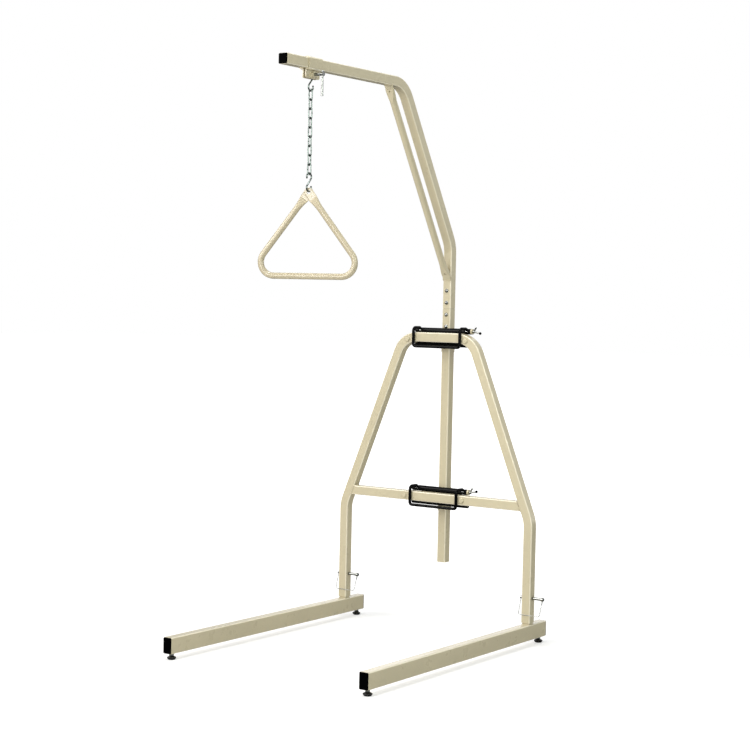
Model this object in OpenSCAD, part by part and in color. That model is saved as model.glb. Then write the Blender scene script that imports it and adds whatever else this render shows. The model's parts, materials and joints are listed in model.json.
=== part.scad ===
// Free-standing bed trapeze: two long feet carry a bent A-frame, and two clamps on the
// A-frame's crossbars hold an upright mast. The mast's boom reaches forward over the bed
// and carries a slider, a chain and a triangular pull handle.
// Millimetres. X runs along the crossbars, Y to the rear, Z up from the floor.

/* [Frame tube] */
// Side of the square frame tube
tube_side = 31.75; // [29:0.25:35]
// Wall of every frame tube
tube_wall = 2.5; // [1.8:0.1:3]
// Outer corner radius of every frame tube
tube_corner = 4; // [3:0.25:5]
// Gap on each side of a tube that slips into another
slip_gap = 0.35; // [0.3:0.05:0.6]

/* [Feet] */
// Spacing of the two feet, centre to centre
leg_spacing = 732; // [640:4:840]
// Height of a foot tube
foot_height = 50.8; // [40:0.2:64]
// Height of the foot tubes above the floor
foot_lift = 19.2; // [18:0.2:26]
// Reach of a foot in front of the legs
foot_front = 914; // [700:2:1000]
// Reach of a foot behind the legs
foot_rear = 93; // [70:1:200]
// Thickness of the end caps' flanges
cap_flange = 3; // [2:0.5:5]
// How far a cap's flange stays inside the tube's outline
cap_inset = 0.8; // [0.4:0.1:1.5]
// Depth of a cap's plug inside the tube
cap_depth = 18; // [10:1:30]
// Distance of a glide's centre from the foot's end
glide_inset = 19; // [17:1:50]

/* [Levelling glides] */
// Diameter of a glide's pad
glide_d = 28.5; // [24:0.5:31]
// Height of a glide's pad
glide_h = 11.5; // [8:0.5:12]
// Diameter of a glide's threaded stem
stem_d = 8; // [6:0.5:10]
// Length of a glide's threaded stem
stem_length = 44; // [36:1:50]
// Height of the nut welded under the foot
glide_nut_h = 6.5; // [5:0.5:6.5]
// Width across flats of the nut
glide_nut_af = 13; // [12:0.5:16]

/* [A-frame] */
// Height of the legs' lower ends above the feet
leg_end_gap = 6; // [2:1:20]
// Height of the lower bends' corner above the floor
lower_corner_z = 404; // [360:2:440]
// Height of the top bar's centre
top_bar_z = 987; // [900:1:1050]
// Lean of the slanted stretches from vertical
slant_angle = 21.7; // [18:0.1:22.5]
// Centreline radius of the lower bends
lower_bend_r = 110; // [80:5:140]
// Centreline radius of the upper bends
upper_bend_r = 80; // [60:2:90]
// Height of the lower crossbar's centre
crossbar_z = 451; // [445:1:560]
// Distance of the stop studs' centres from the rails' ends
stud_out = 6; // [5:1:16]
// Diameter of a stop stud
stud_d = 16; // [8:0.5:17]
// How far a stop stud stands out
stud_h = 5; // [3:0.5:8]
// Length of a leg stub above its foot
stub_length = 130; // [115:5:200]

/* [Lock pins] */
// Height of the lock pins
pin_z = 156; // [150:1:165]
// Diameter of a lock pin
pin_d = 9; // [8:0.5:11]
// Reach of a pin's tip past the leg
pin_tip_out = 14; // [12:1:20]
// Distance of a pin's head from the leg
pin_neck = 31; // [20:1:40]
// Length of a pin's head
pin_head_l = 11; // [9:0.5:16]
// Diameter of a pin's head
pin_head_d = 12; // [11.5:0.5:15]
// Diameter of the pin's wire loop
wire_d = 2.2; // [1.8:0.1:3]
// Drop of the wire loop below the pin
wire_drop = 54; // [40:1:62]

/* [Mast and boom] */
// Sideways place of the mast on the crossbars
mast_x = 4; // [-5:1:5]
// Height of the mast's lower end
mast_bottom = 229; // [120:1:330]
// Height of the boom's lower corner
boom_corner_z = 1295; // [1270:5:1400]
// Height of the boom's centre
boom_z = 1800; // [1700:1:1900]
// Lean of the boom's slanted stretch from vertical
boom_slant = 31.3; // [24:0.1:34]
// Reach of the boom in front of the mast
boom_reach = 922; // [860:2:1000]
// Centreline radius of the boom's bends
boom_bend_r = 95; // [70:5:110]
// Spacing of the splice bolts
bolt_pitch = 40; // [36:1:40]
// Diameter of a splice bolt
bolt_d = 8; // [6:0.5:9]
// Diameter of a splice bolt's domed head
bolt_head_d = 14; // [12:0.5:14.5]
// Height of a splice bolt's domed head
bolt_head_h = 4.5; // [3:0.25:6]
// Length of the splice tube inside the mast and the boom
splice_length = 180; // [160:5:220]
// Diameter of the round brace
brace_d = 22.2; // [19:0.2:25.4]
// Wall of the round brace
brace_wall = 1.8; // [1.2:0.1:2.5]
// Height of the brace's foot above the seam between mast and boom
brace_foot_up = 101; // [95:1:140]
// Distance of the brace's head in front of the boom's upper corner
brace_head_out = 77; // [73:1:110]
// Width of the brace's flattened ends
brace_flat_w = 30; // [24:0.5:31]
// Thickness of the brace's flattened ends
brace_flat_t = 7; // [4:0.5:10]
// Length over which the brace's ends flatten
brace_taper = 42; // [25:1:60]
// Diameter of the brace's vent holes
vent_d = 5.5; // [4:0.5:7]
// Distance of the stop screw from the boom's end
stop_screw_y = 28; // [24:1:40]

/* [Mast clamps] */
// Diameter of a clamp's rails
rail_d = 19; // [18:0.5:22]
// Spacing of a clamp's two rails
rail_pitch = 44; // [36:1:46]
// Length of a clamp's rails
rail_length = 216; // [206:2:220]
// Diameter of the bail's rod
bail_d = 10; // [8:0.5:11]
// Distance of the bail's legs from the rails' ends
bail_inset = 16.5; // [12:0.5:20]
// Drop of the bail's lower rod below the upper rail
bail_drop = 53; // [50:1:62]
// Height of the lower clamp above its crossbar's middle
lower_clamp_lift = 2; // [0:1:6]
// Wall of the mast sleeve
sleeve_wall = 1.5; // [1.2:0.1:3]
// Length of the mast sleeve
sleeve_length = 78; // [60:1:90]
// Height of the sleeve's top above the middle of the rails
sleeve_top = 29; // [24:1:29]
// Diameter of the clamp's inner shaft
shaft_d = 12.4; // [11:0.2:13]
// Diameter of the clamp's screw
clamp_screw_d = 8; // [6:0.5:9]
// Diameter of the ball on the clamp's lever
lever_ball_d = 9; // [7:0.5:10]
// Length of the lever's long arm
lever_long = 25; // [18:1:34]
// Length of the lever's short arm
lever_short = 15; // [10:1:20]

/* [Slider on the boom] */
// Distance of the slider's screw behind the boom's end
slider_y = 134; // [110:2:300]
// Length of the slider along the boom
slider_length = 66; // [50:1:80]
// Thickness of the slider's strap
strap_t = 3; // [2:0.5:4]
// Thickness of the slider's two flanges
flange_t = 4; // [3:0.5:5]
// Slot between the two flanges
flange_slot = 6.4; // [6:0.2:8]
// Depth of the flanges below the boom
flange_depth = 28; // [28:1:40]
// Diameter of the slider's clamp screw
slider_screw_d = 9; // [8:0.5:10]
// Depth of the clamp screw below the boom's underside
slider_screw_drop = 15.5; // [15:0.5:17]
// Reach of the clamp screw past the near flange
slider_screw_out = 35; // [30:1:50]
// Diameter of the tommy bar
tommy_d = 7; // [5:0.5:7.5]
// Length of the tommy bar
tommy_length = 74; // [50:1:90]

/* [Chain and handle] */
// Diameter of the wire of the S-hooks
hook_d = 5; // [4:0.25:5.5]
// Centreline radius of the S-hooks' loops
hook_r = 11; // [10:0.5:13]
// Spacing of an S-hook's two loops
hook_pitch = 33; // [28:1:40]
// Number of chain links
link_count = 9; // [7:2:11]
// Diameter of the wire of the chain
link_d = 4.2; // [3:0.1:4.5]
// Outer width of a chain link
link_width = 15.5; // [15:0.5:18]
// Pitch of the chain
link_pitch = 27.4; // [24:0.2:32]
// Diameter of the handle's tube
handle_d = 19; // [16:0.5:22]
// Wall of the handle's tube
handle_wall = 1.5; // [1.2:0.1:2]
// Length of the straight grip
grip_length = 210; // [180:2:260]
// Centreline radius of the handle's corners
handle_corner_r = 41; // [30:1:50]
// Lean of the handle's sides from vertical
handle_angle = 37; // [32:0.5:42]
// Turn of the hanging handle about the chain
handle_yaw = 20; // [0:1:25]
// Diameter of the hole in the handle's flattened ends
handle_hole_d = 12; // [12:0.5:13]
// Thickness of each flattened end
tab_t = 2.4; // [1.8:0.1:2.6]
// Width of each flattened end
tab_width = 28; // [26:1:30]

/* [Hidden] */
$fn = 64;

// Colours
cream = [0.84, 0.79, 0.67];
handle_cream = [0.93, 0.88, 0.75];
black = [0.06, 0.06, 0.06];
steel = [0.72, 0.73, 0.74];

// Clearances
run_gap = 0.3;
fit_gap = 0.08;
weld_gap = 0.15;
eps = 0.01;

// How the straight runs of a swept tube meet its bends
seam_lap = 0.2;
seam_step = 0.02;

// Frame values
half = tube_side / 2;
leg_x = leg_spacing / 2;
foot_top = foot_lift + foot_height;
leg_bottom = foot_top + leg_end_gap;
inner_side = tube_side - 2 * tube_wall;
slip_side = inner_side - 2 * slip_gap;
slip_wall = 2;
slip_corner = 2;
top_corner_x = leg_x - (top_bar_z - lower_corner_z) * tan(slant_angle);
lower_tangent = lower_bend_r * tan(slant_angle / 2);
upper_turn = 90 - slant_angle;
upper_tangent = upper_bend_r * tan(upper_turn / 2);
slant_run = (top_bar_z - lower_corner_z) / cos(slant_angle) - lower_tangent - upper_tangent;

// The stretch that the lock pin spans, measured from the leg's centre
pin_tip_x = -half - pin_tip_out;
pin_head_x = half + pin_neck;
pin_end_x = pin_head_x + pin_head_l;
wire_x = pin_head_x + pin_head_l / 2;
wire_tip_x = pin_tip_x + 4;
wire_front_y = -half - run_gap - wire_d / 2;
wire_lean = atan(-wire_front_y / wire_drop);
wire_reach = norm([wire_front_y, wire_drop]);
wire_corner_r = 8;
leg_hole_d = pin_d + 3;
stub_hole_d = pin_d + 2 * slip_gap;
ferrule_d = 5.2;
ferrule_l = 10;

// Clamp values, measured from the plane of the A-frame
rail_r = rail_d / 2;
bail_r = bail_d / 2;
rail_y = half + weld_gap + rail_r;
sleeve_front_y = rail_y + rail_r;
mast_y = sleeve_front_y + sleeve_wall + slip_gap + half;
bail_y = -half - run_gap - bail_r;
bail_over = 9;
bail_bend_r = 12;
bail_corner_r = 9;
web_t = 4;
web_width = rail_length - 58;
shaft_bore_d = shaft_d + 2 * run_gap;
bail_width = rail_length - 2 * bail_inset;
plug_depth = bail_inset - bail_d / 2 - run_gap;
plug_flange = 2;
bush_flange = 6;
bush_depth = plug_depth;
lever_hub_l = 6;
lever_hub_d = 10;
lever_rod_d = 5.4;
lever_fan = 60;
bail_swing = 120;
stud_x = rail_length / 2 + stud_out;
upper_clamp_z = top_bar_z;
lower_clamp_z = crossbar_z + lower_clamp_lift;

// Mast and boom values
mast_front_y = mast_y - half;
boom_end_y = mast_y - boom_reach;
boom_turn = 90 - boom_slant;
boom_lower_tangent = boom_bend_r * tan(boom_slant / 2);
boom_upper_tangent = boom_bend_r * tan(boom_turn / 2);
boom_slant_run = (boom_z - boom_corner_z) / cos(boom_slant)
    - boom_lower_tangent - boom_upper_tangent;
boom_setback = (boom_z - boom_corner_z) * tan(boom_slant);
seam_z = upper_clamp_z + sleeve_top + run_gap + bolt_head_d / 2 + 1.5 * bolt_pitch;
bolt_zs = [for (i = [-3, -1, 1, 3]) seam_z + i * bolt_pitch / 2];
seam_gap = 0.5;
brace_foot_z = seam_z + brace_foot_up;
brace_head_y = boom_setback + brace_head_out;
nut_h = 6;
nut_af = 13;

// Slider values, measured from the boom's centre
slider_pos_y = boom_end_y + slider_y;
strap_inner = tube_side + 2 * slip_gap;
strap_outer = strap_inner + 2 * strap_t;
flange_out = flange_slot / 2 + flange_t;
screw_z = boom_z - half - slider_screw_drop;
boss_d = 18;
boss_l = 7;
slider_nut_l = 8;
slider_nut_af = 14;
screw_head_d = 13;
screw_head_l = 10;
tommy_end_d = tommy_d + 1.4;
tommy_end_l = 3;

// Heights down the chain
hook_wire_r = hook_d / 2;
link_r = link_d / 2;
upper_loop_z = screw_z + slider_screw_d / 2 + run_gap - hook_r + hook_wire_r;
hook_seat_z = upper_loop_z - hook_pitch - hook_r;
first_link_top = hook_seat_z + hook_wire_r + link_r + run_gap;
link_length = link_pitch + link_d + run_gap;
last_link_bottom = first_link_top - (link_count - 1) * link_pitch - link_length;
lower_hook_top = last_link_bottom + hook_wire_r + link_r + run_gap;
lower_loop_z = lower_hook_top - hook_r;
handle_seat_z = lower_loop_z - hook_pitch - hook_r;
handle_sag = handle_hole_d / 2 - hook_wire_r - 1.3;
handle_z = handle_seat_z - handle_sag;
upper_links = (link_count + 1) / 2;

// Handle values, measured from the hole in its flattened ends
handle_half = grip_length / 2 + handle_corner_r * cos(handle_angle);
handle_side = handle_half / sin(handle_angle);
handle_drop = handle_half / tan(handle_angle) + handle_corner_r * (1 + sin(handle_angle));
tab_length = 24;
tab_blend = 36;
tab_gap = 0.3;
wedge_step = 0.05;
wedge_half = handle_d / 2 + 4 * wedge_step;

// The origin is under the middle of the whole object
base_x = (pin_end_x + pin_tip_x) / 2;
base_y = (foot_rear - foot_front) / 2;

// A rectangle with rounded corners
module rounded_rect(w, h, r) {
    square([w - 2 * r, h], center = true);
    square([w, h - 2 * r], center = true);
    for (x = [-1, 1], y = [-1, 1])
        translate([x * (w / 2 - r), y * (h / 2 - r)])
            circle(r);
}

// The section of a square or rectangular tube
module tube_section(w, h, wall, r) {
    difference() {
        rounded_rect(w, h, r);
        rounded_rect(w - 2 * wall, h - 2 * wall, max(r - wall, 0.5));
    }
}

module frame_section() {
    tube_section(tube_side, tube_side, tube_wall, tube_corner);
}

// A square frame tube along a bent path: a solid sweep less the sweep of its inside
module bent_frame_tube(runs) {
    last = len(runs) - 1;
    inside = [for (i = [0 : last]) i == 0 || i == last
        ? [runs[i][0] + 1, runs[i][1], runs[i][2]] : runs[i]];
    difference() {
        bent(runs)
            swept_square(tube_side, tube_corner);
        translate([0, 0, -1])
            bent(inside)
                swept_square(inner_side, tube_corner - tube_wall);
    }
}

module slip_section() {
    tube_section(slip_side, slip_side, slip_wall, slip_corner);
}

// Sweeps a section up Z along straight runs and bends towards +X.
// Each run is [length, bend angle, bend radius]. The section in a bend is slimmer by
// $slim and the straight runs reach a little into it, which keeps the sweep one solid.
module bent(runs, i = 0) {
    length = runs[i][0];
    angle = runs[i][1];
    radius = runs[i][2];
    before = i == 0 ? 0 : seam_lap;
    after = i == len(runs) - 1 ? 0 : seam_lap;
    translate([0, 0, -before])
        linear_extrude(length + before + after)
            let ($slim = 0)
                children();
    if (i < len(runs) - 1)
        translate([0, 0, length]) {
            translate([radius, 0, 0])
                rotate([90, 0, 180])
                    rotate_extrude(angle = angle)
                        translate([radius, 0])
                            let ($slim = seam_step)
                                children();
            translate([radius * (1 - cos(angle)), 0, radius * sin(angle)])
                rotate([0, angle, 0])
                    bent(runs, i + 1)
                        children();
        }
}

// The sections that follow a bent path
module swept_square(side, r) {
    rounded_rect(side - 2 * $slim, side - 2 * $slim, r - $slim);
}

module swept_circle(d) {
    circle(d = d - 2 * $slim);
}

// A cylinder centred on the origin along X, Y or Z
module x_cyl(d, l) {
    rotate([0, 90, 0])
        cylinder(d = d, h = l, center = true);
}

module y_cyl(d, l) {
    rotate([90, 0, 0])
        cylinder(d = d, h = l, center = true);
}

// A round rod between two points
module rod(a, b, d) {
    v = b - a;
    length = norm(v);
    translate(a)
        rotate([0, acos(v[2] / length), atan2(v[1], v[0])])
            cylinder(d = d, h = length);
}

// A round wire through a list of points, with rounded corners and ends
module wire(points, d) {
    for (i = [0 : len(points) - 2])
        rod(points[i], points[i + 1], d);
    for (p = points)
        translate(p)
            sphere(d = d);
}

module hexagon(af) {
    circle(d = af / cos(30), $fn = 6);
}

// Feet

module foot_tube(side) {
    color(cream)
        difference() {
            translate([side * leg_x, foot_rear, foot_lift + foot_height / 2])
                rotate([90, 0, 0])
                    linear_extrude(foot_rear + foot_front)
                        tube_section(tube_side, foot_height, tube_wall, tube_corner);
            for (y = glide_ys())
                translate([side * leg_x, y, foot_lift - eps])
                    cylinder(d = stem_d + 2 * fit_gap, h = tube_wall + 2 * eps);
        }
}

function glide_ys() = [glide_inset - foot_front, foot_rear - glide_inset];

// A cap: a flange outside the tube and a plug inside it
module cap(w, h) {
    linear_extrude(cap_flange)
        rounded_rect(w - 2 * cap_inset, h - 2 * cap_inset, tube_corner - cap_inset);
    inner_w = w - 2 * tube_wall - 2 * fit_gap;
    inner_h = h - 2 * tube_wall - 2 * fit_gap;
    translate([0, 0, -cap_depth])
        linear_extrude(cap_depth)
            tube_section(inner_w, inner_h, 2, 1.6);
}

module foot_caps(side) {
    color(black)
        translate([side * leg_x, 0, foot_lift + foot_height / 2]) {
            difference() {
                translate([0, -foot_front, 0])
                    rotate([90, 0, 0])
                        cap(tube_side, foot_height);
                translate([0, glide_ys()[0], 0])
                    stem_relief();
            }
            difference() {
                translate([0, foot_rear, 0])
                    rotate([-90, 0, 0])
                        cap(tube_side, foot_height);
                translate([0, glide_ys()[1], 0])
                    stem_relief();
            }
        }
}

// The notch in a cap's plug that lets the glide's stem past
module stem_relief() {
    translate([0, 0, -foot_height / 2])
        cylinder(d = stem_d + 2, h = foot_height);
}

module leg_stub(side) {
    color(cream)
        difference() {
            translate([side * leg_x, 0, foot_top])
                linear_extrude(stub_length)
                    slip_section();
            translate([side * leg_x, 0, pin_z])
                x_cyl(stub_hole_d, tube_side);
        }
}

// Levelling glides

module glide_nuts() {
    color(steel)
        for (side = [-1, 1], y = glide_ys())
            translate([side * leg_x, y, foot_lift - glide_nut_h])
                linear_extrude(glide_nut_h)
                    difference() {
                        hexagon(glide_nut_af);
                        circle(d = stem_d + 2 * fit_gap);
                    }
}

module glide_pad(side, y) {
    foot_r = glide_d / 2 - 4;
    color(black)
        translate([side * leg_x, y, 0])
            rotate_extrude()
                polygon([[0, 0], [foot_r, 0], [glide_d / 2 - 1.2, 3], [glide_d / 2, 5.5],
                    [glide_d / 2 - 0.8, 7.5], [stem_d / 2 + 3, glide_h],
                    [stem_d / 2 + fit_gap, glide_h], [stem_d / 2 + fit_gap, 3], [0, 3]]);
}

module glide_stem(side, y) {
    color(steel)
        translate([side * leg_x, y, 3 + fit_gap])
            cylinder(d = stem_d, h = stem_length);
}

// A-frame

module a_frame_tube() {
    leg_run = lower_corner_z - leg_bottom - lower_tangent;
    top_run = 2 * (top_corner_x - upper_tangent);
    color(cream)
        difference() {
            translate([-leg_x, 0, leg_bottom])
                bent_frame_tube([[leg_run, slant_angle, lower_bend_r],
                    [slant_run, upper_turn, upper_bend_r],
                    [top_run, upper_turn, upper_bend_r],
                    [slant_run, slant_angle, lower_bend_r],
                    [leg_run, 0, 0]]);
            for (side = [-1, 1])
                translate([side * leg_x, 0, pin_z])
                    x_cyl(leg_hole_d, tube_side + 2);
        }
}

// Half the width between the slanted stretches' inner faces at height z
function inner_half(z) = leg_x - (z - lower_corner_z) * tan(slant_angle)
    - half / cos(slant_angle);

module lower_crossbar() {
    low = crossbar_z - half - 1;
    high = crossbar_z + half + 1;
    color(cream)
        intersection() {
            translate([-leg_x, 0, crossbar_z])
                rotate([0, 90, 0])
                    linear_extrude(leg_spacing)
                        frame_section();
            translate([0, tube_side, 0])
                rotate([90, 0, 0])
                    linear_extrude(2 * tube_side)
                        polygon([[-inner_half(low), low], [inner_half(low), low],
                            [inner_half(high), high], [-inner_half(high), high]]);
        }
}

// Height of the top bar's centreline at the studs, part way round the bend
function stud_top_z() =
    let (into = max(0, stud_x - (top_corner_x - upper_tangent)))
    top_bar_z - upper_bend_r + sqrt(pow(upper_bend_r, 2) - pow(into, 2));

module stop_studs() {
    color(cream)
        for (side = [-1, 1], z = [crossbar_z, stud_top_z()])
            translate([side * stud_x, -half, z])
                rotate([90, 0, 0])
                    rotate_extrude()
                        polygon([[0, 0], [stud_d / 2, 0], [stud_d / 2, stud_h - 1.5],
                            [stud_d / 2 - 1.5, stud_h], [0, stud_h]]);
}

// Lock pins

module lock_pin(side) {
    color(steel)
        translate([side * leg_x, 0, pin_z])
            difference() {
                rotate([0, 90, 0])
                    rotate_extrude()
                        polygon([[0, pin_tip_x], [pin_d / 2 - 1.5, pin_tip_x],
                            [pin_d / 2, pin_tip_x + 2], [pin_d / 2, pin_head_x],
                            [pin_head_d / 2 - 1, pin_head_x],
                            [pin_head_d / 2, pin_head_x + 1.2],
                            [pin_head_d / 2, pin_end_x - 2],
                            [pin_head_d / 2 - 2, pin_end_x], [0, pin_end_x]]);
                rotate([-wire_lean, 0, 0])
                    for (x = [wire_tip_x, wire_x])
                        translate([x, 0, -pin_head_d])
                            cylinder(d = wire_d + 2 * run_gap, h = pin_head_d - 1);
            }
}

// The wire loop from the pin's head across the front of the leg to the pin's tip
module pin_wire(side) {
    root = 2;
    leg = wire_reach - root - wire_corner_r;
    ferrule_top = -pin_head_d / 2 - run_gap;
    color(steel)
        translate([side * leg_x, 0, pin_z])
            rotate([-wire_lean, 0, 0]) {
                translate([wire_x, 0, -root])
                    rotate([0, 180, 0])
                        bent([[leg, 90, wire_corner_r],
                              [wire_x - wire_tip_x - 2 * wire_corner_r, 90, wire_corner_r],
                              [leg, 0, 0]])
                            swept_circle(wire_d);
                translate([wire_x, 0, ferrule_top - ferrule_l])
                    cylinder(d = ferrule_d, h = ferrule_l);
            }
}

// Mast clamps

module mast_sleeve(z) {
    side = tube_side + 2 * slip_gap + 2 * sleeve_wall;
    color(cream)
        translate([mast_x, mast_y, z + sleeve_top - sleeve_length])
            linear_extrude(sleeve_length)
                tube_section(side, side, sleeve_wall, tube_corner + sleeve_wall);
}

// Places a clamp's part with the upper rail's axis on X
module at_upper_rail(z) {
    translate([mast_x, rail_y, z + rail_pitch / 2])
        children();
}

// The slot in the upper rail that lets one end of the bail swing
module bail_slot() {
    middle = 115;
    slack = 62;
    slot_width = bail_d + 2 * run_gap;
    translate([-slot_width / 2, 0, 0])
        rotate([90, 0, 90])
            rotate([0, 0, middle + slack - 360])
                mirror([0, 1, 0])
                    rotate_extrude(angle = bail_swing + 2 * slack)
                        square([rail_r + 1, slot_width]);
}

module clamp_rails(z) {
    color(black)
        at_upper_rail(z)
            difference() {
                union() {
                    x_cyl(rail_d, rail_length);
                    translate([0, 0, -rail_pitch])
                        x_cyl(rail_d, rail_length);
                    translate([0, rail_r - web_t / 2, -rail_pitch / 2])
                        cube([web_width, web_t, rail_pitch], center = true);
                }
                for (rail = [0, 1])
                    translate([0, 0, -rail * rail_pitch])
                        x_cyl(shaft_bore_d, rail_length + 2);
                for (side = [-1, 1])
                    translate([side * bail_width / 2, 0, 0])
                        bail_slot();
            }
}

module rail_plug() {
    cylinder(d = rail_d - 0.6, h = plug_flange);
    translate([0, 0, -plug_depth])
        cylinder(d = shaft_bore_d - 2 * fit_gap, h = plug_depth);
}

module rail_plugs(z) {
    color(black)
        at_upper_rail(z) {
            translate([-rail_length / 2, 0, 0])
                rotate([0, -90, 0])
                    rail_plug();
            for (side = [-1, 1])
                translate([side * rail_length / 2, 0, -rail_pitch])
                    rotate([0, side * 90, 0])
                        rail_plug();
        }
}

module clamp_shaft(z) {
    left = -rail_length / 2 + plug_depth + run_gap;
    right = rail_length / 2 - bush_depth - run_gap;
    color(steel)
        at_upper_rail(z)
            translate([(left + right) / 2, 0, 0])
                x_cyl(shaft_d, right - left);
}

// The front loop of the bail and its two ends that bend back over the crossbar
module clamp_bail(z) {
    join_z = bail_over - bail_bend_r - 6;
    front = bail_y - rail_y;
    leg = join_z + bail_drop - bail_corner_r;
    back = -front - 2 * bail_bend_r;
    color(black)
        at_upper_rail(z)
            difference() {
                union() {
                    translate([bail_width / 2, front, join_z])
                        rotate([0, 180, 0])
                            bent([[leg, 90, bail_corner_r],
                                  [bail_width - 2 * bail_corner_r, 90, bail_corner_r],
                                  [leg, 0, 0]])
                                swept_circle(bail_d);
                    for (side = [-1, 1])
                        translate([side * bail_width / 2, front, join_z])
                            rotate([0, 0, 90])
                                bent([[6 + seam_lap, 90, bail_bend_r],
                                      [back, 90, bail_bend_r], [seam_lap, 0, 0]])
                                    swept_circle(bail_d);
                }
                x_cyl(shaft_d + 2 * fit_gap, rail_length);
            }
}

module clamp_bush(z) {
    color(cream)
        at_upper_rail(z)
            difference() {
                union() {
                    translate([rail_length / 2 + bush_flange / 2, 0, 0])
                        x_cyl(rail_d - 1, bush_flange);
                    translate([rail_length / 2 - bush_depth / 2, 0, 0])
                        x_cyl(shaft_bore_d - 2 * fit_gap, bush_depth);
                }
                translate([rail_length / 2, 0, 0])
                    x_cyl(clamp_screw_d + 2 * fit_gap, 6 * bush_depth);
            }
}

// Where the lever's hub starts, measured from the middle of the rail
hub_x = rail_length / 2 + bush_flange + run_gap;

module clamp_screw(z) {
    inner = rail_length / 2 - bush_depth;
    color(steel)
        at_upper_rail(z)
            translate([(inner + hub_x) / 2, 0, 0])
                x_cyl(clamp_screw_d, hub_x - inner);
}

// The end of the lever's long arm, which leans by the given tilt
function lever_tip(tilt) = [hub_x + lever_hub_l / 2 + lever_long * cos(tilt), 0,
    lever_long * sin(tilt)];

module clamp_lever(z, tilt) {
    root = [hub_x + lever_hub_l / 2, 0, 0];
    short_end = root + lever_short * [cos(lever_fan), 0, sin(lever_fan)];
    color(steel)
        at_upper_rail(z) {
            translate(root)
                x_cyl(lever_hub_d, lever_hub_l);
            rod(root, lever_tip(tilt), lever_rod_d);
            rod(root, short_end, lever_rod_d);
            translate(short_end)
                sphere(d = lever_rod_d + 0.8);
        }
}

module lever_ball(z, tilt) {
    color(black)
        at_upper_rail(z)
            difference() {
                translate(lever_tip(tilt))
                    sphere(d = lever_ball_d);
                rod([hub_x, 0, 0] + [lever_hub_l / 2, 0, 0], lever_tip(tilt), lever_rod_d);
            }
}

upper_tilt = -11;
lower_tilt = 11;

// Mast and boom

module bolt_holes() {
    for (z = bolt_zs)
        translate([mast_x, mast_y, z])
            y_cyl(bolt_d + 0.6, tube_side + 2);
}

module mast_tube() {
    color(cream)
        difference() {
            translate([mast_x, mast_y, mast_bottom])
                linear_extrude(seam_z - seam_gap - mast_bottom)
                    frame_section();
            bolt_holes();
        }
}

module splice_tube() {
    color(steel)
        difference() {
            translate([mast_x, mast_y, seam_z - splice_length / 2])
                linear_extrude(splice_length)
                    slip_section();
            bolt_holes();
        }
}

module boom_tube() {
    color(cream)
        difference() {
            translate([mast_x, mast_y, seam_z])
                rotate([0, 0, -90])
                    bent_frame_tube([[boom_corner_z - seam_z - boom_lower_tangent,
                            boom_slant, boom_bend_r],
                        [boom_slant_run, boom_turn, boom_bend_r],
                        [boom_reach - boom_setback - boom_upper_tangent, 0, 0]]);
            bolt_holes();
            translate([mast_x, boom_end_y + stop_screw_y, boom_z + half - tube_wall - 1])
                cylinder(d = 5, h = tube_wall + 2);
        }
}

// The brace's axis, from the mast's front face to the boom's underside
brace_a = [mast_x, mast_front_y, brace_foot_z];
brace_b = [mast_x, mast_y - brace_head_y, boom_z - half];
brace_dir = (brace_b - brace_a) / norm(brace_b - brace_a);

// Stands a piece on the brace's axis, with X kept and Z along the brace
module along_brace(p) {
    translate(p)
        rotate([acos(brace_dir[2]), 0, 0])
            children();
}

// A flattened end, from the round tube at z = 0 to the flat stretch above it
module brace_end() {
    flat = 30;
    x_half = brace_flat_w / 2 + wedge_step;
    intersection() {
        cylinder(d1 = brace_d + 2 * wedge_step, d2 = brace_flat_w + 2 * wedge_step,
            h = brace_taper);
        rotate([90, 0, 90])
            linear_extrude(2 * brace_flat_w, center = true)
                polygon([[-brace_d / 2 - 4 * wedge_step, 0], [brace_d / 2 + 4 * wedge_step, 0],
                    [brace_flat_t / 2 + wedge_step, brace_taper],
                    [-brace_flat_t / 2 - wedge_step, brace_taper]]);
    }
    translate([0, 0, brace_taper - seam_lap])
        linear_extrude(flat)
            rounded_rect(brace_flat_w, brace_flat_t, brace_flat_t / 2 - wedge_step);
}

module brace_tube() {
    length = norm(brace_b - brace_a);
    over = 12;
    start = brace_taper + over;
    vent_in = 20;
    below = 100;
    color(cream)
        intersection() {
            difference() {
                union() {
                    along_brace(brace_a)
                        translate([0, 0, start - seam_lap])
                            cylinder(d = brace_d, h = length - 2 * start + 2 * seam_lap);
                    along_brace(brace_a)
                        translate([0, 0, start])
                            rotate([180, 0, 0])
                                brace_end();
                    along_brace(brace_b)
                        translate([0, 0, -start])
                            brace_end();
                }
                along_brace(brace_a)
                    translate([0, 0, start + 1])
                        cylinder(d = brace_d - 2 * brace_wall, h = length - 2 * start - 2);
                along_brace(brace_a)
                    translate([0, 0, vent_in])
                        rotate([90, 0, 0])
                            cylinder(d = vent_d, h = brace_d);
                along_brace(brace_b)
                    translate([0, 0, -vent_in])
                        rotate([90, 0, 0])
                            cylinder(d = vent_d, h = brace_d);
            }
            translate([mast_x - brace_d, mast_front_y - boom_reach, brace_foot_z - below])
                cube([2 * brace_d, boom_reach, boom_z - half - brace_foot_z + below]);
        }
}

module boom_end_cap() {
    color(black)
        difference() {
            translate([mast_x, boom_end_y - seam_step, boom_z])
                rotate([90, 0, 0])
                    cap(tube_side, tube_side);
            translate([mast_x, boom_end_y + stop_screw_y, boom_z])
                cylinder(d = 8, h = tube_side);
        }
}

module stop_screw() {
    color(steel)
        translate([mast_x, boom_end_y + stop_screw_y, boom_z + half]) {
            rotate_extrude()
                polygon([[0, 0], [4.5, 0], [4.2, 1.6], [2.6, 2.8], [0, 3.2]]);
            translate([0, 0, -8])
                cylinder(d = 4.4, h = 8);
        }
}

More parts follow.
